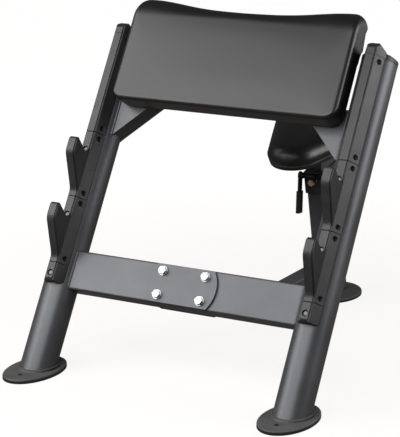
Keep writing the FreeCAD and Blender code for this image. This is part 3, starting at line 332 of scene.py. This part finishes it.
def swell(piece, held, limit):
    """Blow a cover up by cloth simulation: 20 frames under pressure without gravity, its held points pinned.

    The moves are then evened out, 16 times a half of each and an eighth of its four neighbours, as foam does that
    is drawn tight. All are scaled down together so that the largest is the limit in metres.
    """
    mesh = piece.data
    frames = 20
    piece.vertex_groups.new(name="stapled").add(np.flatnonzero(held).tolist(), 1.0, "REPLACE")
    start = np.empty(len(mesh.vertices) * 3)
    mesh.vertices.foreach_get("co", start)
    cloth = piece.modifiers.new("cloth", "CLOTH")
    cloth.settings.quality = 4
    cloth.settings.tension_stiffness = cloth.settings.compression_stiffness = 40
    cloth.settings.shear_stiffness = 20
    cloth.settings.bending_stiffness = 2
    cloth.settings.use_pressure = True
    cloth.settings.uniform_pressure_force = 4
    cloth.settings.vertex_group_mass = "stapled"
    cloth.settings.effector_weights.gravity = 0
    cloth.point_cache.frame_start, cloth.point_cache.frame_end = 1, frames
    for step in range(1, frames + 1):
        bpy.context.scene.frame_set(step)
    shaped = piece.evaluated_get(bpy.context.evaluated_depsgraph_get()).to_mesh()
    end = np.empty(len(shaped.vertices) * 3)
    shaped.vertices.foreach_get("co", end)
    piece.modifiers.remove(cloth)
    bpy.context.scene.frame_set(1)
    move = (end - start).reshape(-1, 3)
    grid = move[:-2].reshape(*held.shape, 3)
    for step in range(16):
        along = np.concatenate([grid[:1], grid, grid[-1:]])
        grid = (4 * grid + np.roll(grid, 1, 1) + np.roll(grid, -1, 1) + along[:-2] + along[2:]) / 8
        grid[held] = 0
    move = np.concatenate([grid.reshape(-1, 3), grid[:1].mean(1), grid[-1:].mean(1)])
    move *= min(1, limit / np.linalg.norm(move, axis=1).max())
    mesh.vertices.foreach_set("co", (start.reshape(-1, 3) + move).ravel())
    mesh.update()


pad_rings = arm_pad_rings()
arm_pad = ring_mesh("arm_pad_cover", on_upright(*np.moveaxis(pad_rings, -1, 0)), False)
arm_pad.data.materials.append(pad_vinyl)
arm_pad.data.materials.append(dust_cloth)
# The dust cloth lies on the back, clear of the ends and of the top and bottom edges.
lined = np.zeros(pad_rings.shape[:2], bool)
lined[30:-31, 1:22] = True
arm_pad.data.polygons.foreach_set("material_index", np.append(lined, np.zeros(lined.shape[1])).astype(np.int32))
sewn = np.abs(np.abs(pad_rings[..., 0]) - PAD_HALF) < 1e-6
stapled = (pad_rings[..., 1] < 35) & (pad_rings[..., 2] < 860) | (pad_rings[..., 2] < 700) | sewn
swell(arm_pad, stapled, 0.0025)
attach(arm_pad, "frame")
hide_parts("arm_pad", "pad_board")

# Seat: a tapered foam cushion on a plywood board in the same vinyl, with a piped seam round its bottom edge and a
# dust cloth beneath. It is bolted to the bracket on the seat tube.
POST_LEAN = math.radians(12.5)
REAR_FOOT = 0.49165
SEAT = 474.9


def on_post(x, y, z):
    """Points in the bench, from millimetres across it, behind the post's axis and up along it."""
    x, y, z = np.broadcast_arrays(x, y, z)
    back = REAR_FOOT + (y * math.cos(POST_LEAN) - z * math.sin(POST_LEAN)) / 1000
    up = (y * math.sin(POST_LEAN) + z * math.cos(POST_LEAN)) / 1000
    return np.stack([x / 1000, back, up], -1)


def seat_plan(count):
    """Plan of the seat as evenly spaced points and the directions out of it.

    It goes round a 75 mm nose and two 60 mm rear corners, with straight sides that touch the circles.
    """
    nose, rear = np.array([0.0, -140.0, 75.0]), np.array([87.0, 50.0, 60.0])
    run = math.hypot(rear[0], rear[1] - nose[1])
    side = math.atan2(rear[1] - nose[1], rear[0]) - math.pi / 2 + math.asin((nose[2] - rear[2]) / run)
    turn = np.concatenate([np.linspace(-math.pi - side, side, 160), np.linspace(side, math.pi / 2, 80),
                           np.linspace(math.pi / 2, math.pi - side, 80), [math.pi - side]])
    circle = np.concatenate([np.tile(nose, (160, 1)), np.tile(rear, (80, 1)), np.tile(rear * [-1, 1, 1], (80, 1)),
                             [nose]])
    x = circle[:, 0] + circle[:, 2] * np.cos(turn)
    y = circle[:, 1] + circle[:, 2] * np.sin(turn)
    length = np.append(0, np.cumsum(np.hypot(np.diff(x), np.diff(y))))
    at = np.linspace(0, length[-1], count, endpoint=False)
    angle = np.interp(at, length, turn)
    return np.interp(at, length, x), np.interp(at, length, y), np.cos(angle), np.sin(angle)


def seat_rings():
    """Rings of the seat cushion, from the middle of its underside round its edge to the crown of its top.

    Edge rings are the plan moved in by an offset at a height over the board's underside. Inner rings are the
    edge drawn in by a share towards the middle, the top ones rising by 3 mm times one less the share squared.
    """
    x, y, out_x, out_y = seat_plan(210)
    edge = np.array([(0.4, 14.0), (-2.0, 11.0), (-3.0, 7.0), (-2.2, 4.4), (1.5, 3.0), (6.0, 3.0), (9.0, 3.8),
                     (12.0, 1.6), (16.0, -0.4), (21.0, -1.4), (26.0, -1.2), (31.0, 0.4), (37.0, 2.8), (43.0, 6.2),
                     (48.4, 10.4), (53.0, 15.8), (56.2, 22.0), (58.2, 30.0)])
    middle_y = -40.0
    share = np.linspace(0.94, 0.06, 20)[:, None]
    under = np.linspace(0.1, 0.94, 8)[:, None]
    high_x, high_y = x - edge[-1, 1] * out_x, y - edge[-1, 1] * out_y
    low_x, low_y = x - edge[0, 1] * out_x, y - edge[0, 1] * out_y
    return np.concatenate([
        on_post(low_x * under, middle_y + (low_y - middle_y) * under, SEAT + edge[0, 0]),
        on_post(x - edge[:, 1:] * out_x, y - edge[:, 1:] * out_y, SEAT + edge[:, :1]),
        on_post(high_x * share, middle_y + (high_y - middle_y) * share, SEAT + edge[-1, 0] + 3 * (1 - share ** 2)),
    ])


rings = seat_rings()
seat_cushion = ring_mesh("seat_cover", rings, False)
seat_cushion.data.materials.append(pad_vinyl)
seat_cushion.data.materials.append(dust_cloth)
# The dust cloth lies on the underside: its inner rings, and the row of the fan that shuts them.
lined = np.zeros(rings.shape[:2], np.int32)
lined[:7] = lined[-1] = 1
seat_cushion.data.polygons.foreach_set("material_index", np.append(lined, np.zeros(rings.shape[1], np.int32)))
under = np.zeros(rings.shape[:2], bool)
under[:15] = True
swell(seat_cushion, under, 0.004)
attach(seat_cushion, "seat")
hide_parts("seat_pad", "seat_board")


def piping_rings():
    """A cord 4.4 mm thick round the plan of the seat, over the board's edge."""
    x, y, out_x, out_y = (part[:, None] for part in seat_plan(210))
    turn = np.linspace(0, 2 * math.pi, 10, endpoint=False)[None, :]
    out = -3.2 + 2.2 * np.cos(turn)
    return on_post(x + out * out_x, y + out * out_y, SEAT + 9 - 2.2 * np.sin(turn))


# Piping: a welt cord in plain calendered vinyl, drawn a lighter grey than the cover as a painted highlight, so that
# it shows as a light line.
piping_highlight_vinyl, tree = new_material("piping_vinyl_painted_highlight")
place = add(tree, "TexCoord").outputs["Object"]
rub = add(tree, "TexNoise", Vector=place, Scale=1000 / 12, Detail=3.0).outputs["Fac"]
# Painted highlight: the cord's base colour is lifted to dark grey, well above the cover's near black, so it reads as
# lit.
welt = add(tree, "BsdfPrincipled", Base_Color=blend_colours(tree, rub, "#333335", "#434345"), Roughness=0.38,
           Specular_IOR_Level=0.6)
add(tree, "OutputMaterial", Surface=welt.outputs["BSDF"])
seat_piping = ring_mesh("seat_piping", piping_rings(), True)
seat_piping.data.materials.append(piping_highlight_vinyl)
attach(seat_piping, "seat")

# Seat tube and lock: a plated tube in the post, and on the collar's front a black steel lever, shaft and fork that
# pull a yellow plunger out of the tube.
dress(["release_lever", "lever_shaft", "release_fork", "return_spring", "shaft_clip", "lever_bracket"], black_oxide)
# Yellow passivate: zinc plate with a straw-coloured chromate film.
yellow_zinc, tree = new_material("yellow_passivate")
place = add(tree, "TexCoord").outputs["Object"]
film = add(tree, "TexNoise", Vector=place, Scale=1000 / 5, Detail=3.0).outputs["Fac"]
edge = add(tree, "Bevel", {"samples": 4}, Radius=0.0008).outputs["Normal"]
brass = add(tree, "BsdfPrincipled", Base_Color=blend_colours(tree, film, "#cdbb95", "#eadcbc"), Roughness=0.45,
            Metallic=1.0, Normal=edge)
add(tree, "OutputMaterial", Surface=brass.outputs["BSDF"])
dress(["lock_plunger", "plunger_bush"], yellow_zinc)
# Dipped vinyl grip: black, half glossy, with slow waves from the dip.
grip_vinyl, tree = new_material("dipped_vinyl")
place = add(tree, "TexCoord").outputs["Object"]
wave = add(tree, "TexNoise", Vector=place, Scale=1000 / 14, Detail=2.0).outputs["Fac"]
bump = add(tree, "Bump", Height=wave, Distance=0.0004).outputs["Normal"]
dip = add(tree, "BsdfPrincipled", Base_Color=blend_colours(tree, wave, "#131314", "#1c1c1d"), Roughness=0.4,
          Normal=bump)
add(tree, "OutputMaterial", Surface=dip.outputs["BSDF"])
dress(["lever_grip"], grip_vinyl)

# Studio: a pale floor and a surround that read white to the camera. Large softboxes high at the left and in front
# are mirrored by the leaning faces, a low one lights their bottom edges, and two more stand at the right and behind.
floor_mesh = bpy.data.meshes.new("studio_floor")
floor_mesh.from_pydata([(-12, -12, 0), (12, -12, 0), (12, 12, 0), (-12, 12, 0)], [], [(0, 1, 2, 3)])
floor = bpy.data.objects.new("studio_floor", floor_mesh)
bpy.context.scene.collection.objects.link(floor)
floor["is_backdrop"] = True


def white_share(tree):
    """How much of its white the surround shows: all to the camera and through glass, a twentieth in a reflection.

    The paint's dark sides mirror a dim room.
    """
    ray = add(tree, "LightPath").outputs
    mirrored = add(tree, "Math", {"operation": "MULTIPLY_ADD"}, in0=ray["Is Glossy Ray"], in1=0.05,
                   in2=ray["Is Camera Ray"]).outputs["Value"]
    return add(tree, "Math", in0=mirrored, in1=ray["Is Transmission Ray"]).outputs["Value"]


# Pale studio paper: matt, and lifted to white where the camera sees it. The lift is less near the bench, so that
# its soft shadow stays.
paper, tree = new_material("pale_floor")
matt = add(tree, "BsdfDiffuse", Color=srgb("#756d65"))
far = add(tree, "VectorMath", {"operation": "LENGTH"}, in0=add(tree, "NewGeometry").outputs["Position"])
far = add(tree, "MapRange", Value=far.outputs["Value"], From_Min=0.7, From_Max=2.2, To_Min=0.87, To_Max=0.985)
lift = add(tree, "Math", {"operation": "MULTIPLY"}, in0=white_share(tree), in1=far.outputs["Result"])
white = add(tree, "Emission", Color=srgb("#ffffff"), Strength=lift.outputs["Value"])
both = add(tree, "AddShader", in0=matt.outputs["BSDF"], in1=white.outputs["Emission"])
add(tree, "OutputMaterial", Surface=both.outputs["Shader"])
floor.data.materials.append(paper)

world = bpy.data.worlds.new("studio")
bpy.context.scene.world = world
world.use_nodes = True
tree = world.node_tree
tree.nodes.clear()
room = add(tree, "Background", Color=srgb("#ffffff"), Strength=0.035)
white = add(tree, "Background", Color=srgb("#ffffff"), Strength=1.0)
both = add(tree, "MixShader", in0=white_share(tree), in1=room.outputs["Background"], in2=white.outputs["Background"])
add(tree, "OutputWorld", Surface=both.outputs["Shader"])


def softbox(name, place, aim, size, watts):
    """A rectangular area light at a place, turned to an aim point."""
    data = bpy.data.lights.new(name, "AREA")
    data.shape = "RECTANGLE"
    data.size, data.size_y = size
    data.energy = watts
    light = bpy.data.objects.new(name, data)
    light.location = place
    light.rotation_euler = (Vector(aim) - Vector(place)).to_track_quat("-Z", "Y").to_euler()
    bpy.context.scene.collection.objects.link(light)


bench_middle = (0.0, -0.25, 0.5)
softbox("left", (-1.89, -1.39, 1.87), bench_middle, (1.7, 1.8), 32)
softbox("front", (0.08, -2.25, 2.19), bench_middle, (2.5, 1.6), 44)
softbox("low", (-1.35, -2.0, 1.4), bench_middle, (1.2, 0.4), 7)
softbox("right", (2.45, 0.75, 1.35), (0.2, 0.0, 0.6), (2.1, 0.9), 30)
softbox("behind", (1.6, 2.6, 0.8), (0.2, 0.2, 0.7), (1.6, 1.2), 5)

camera_data = bpy.data.cameras.new("camera")
camera_data.sensor_width = 36.0
camera_data.lens = 145.3
camera = bpy.data.objects.new("camera", camera_data)
camera.location = (2.0265, -3.88335, 1.431)
camera.rotation_euler = (Vector((0.0659, -0.39135, 0.4202)) - camera.location).to_track_quat("-Z", "Y").to_euler()
bpy.context.scene.collection.objects.link(camera)
bpy.context.scene.camera = camera
bpy.context.scene.view_settings.view_transform = "Standard"

low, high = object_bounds()
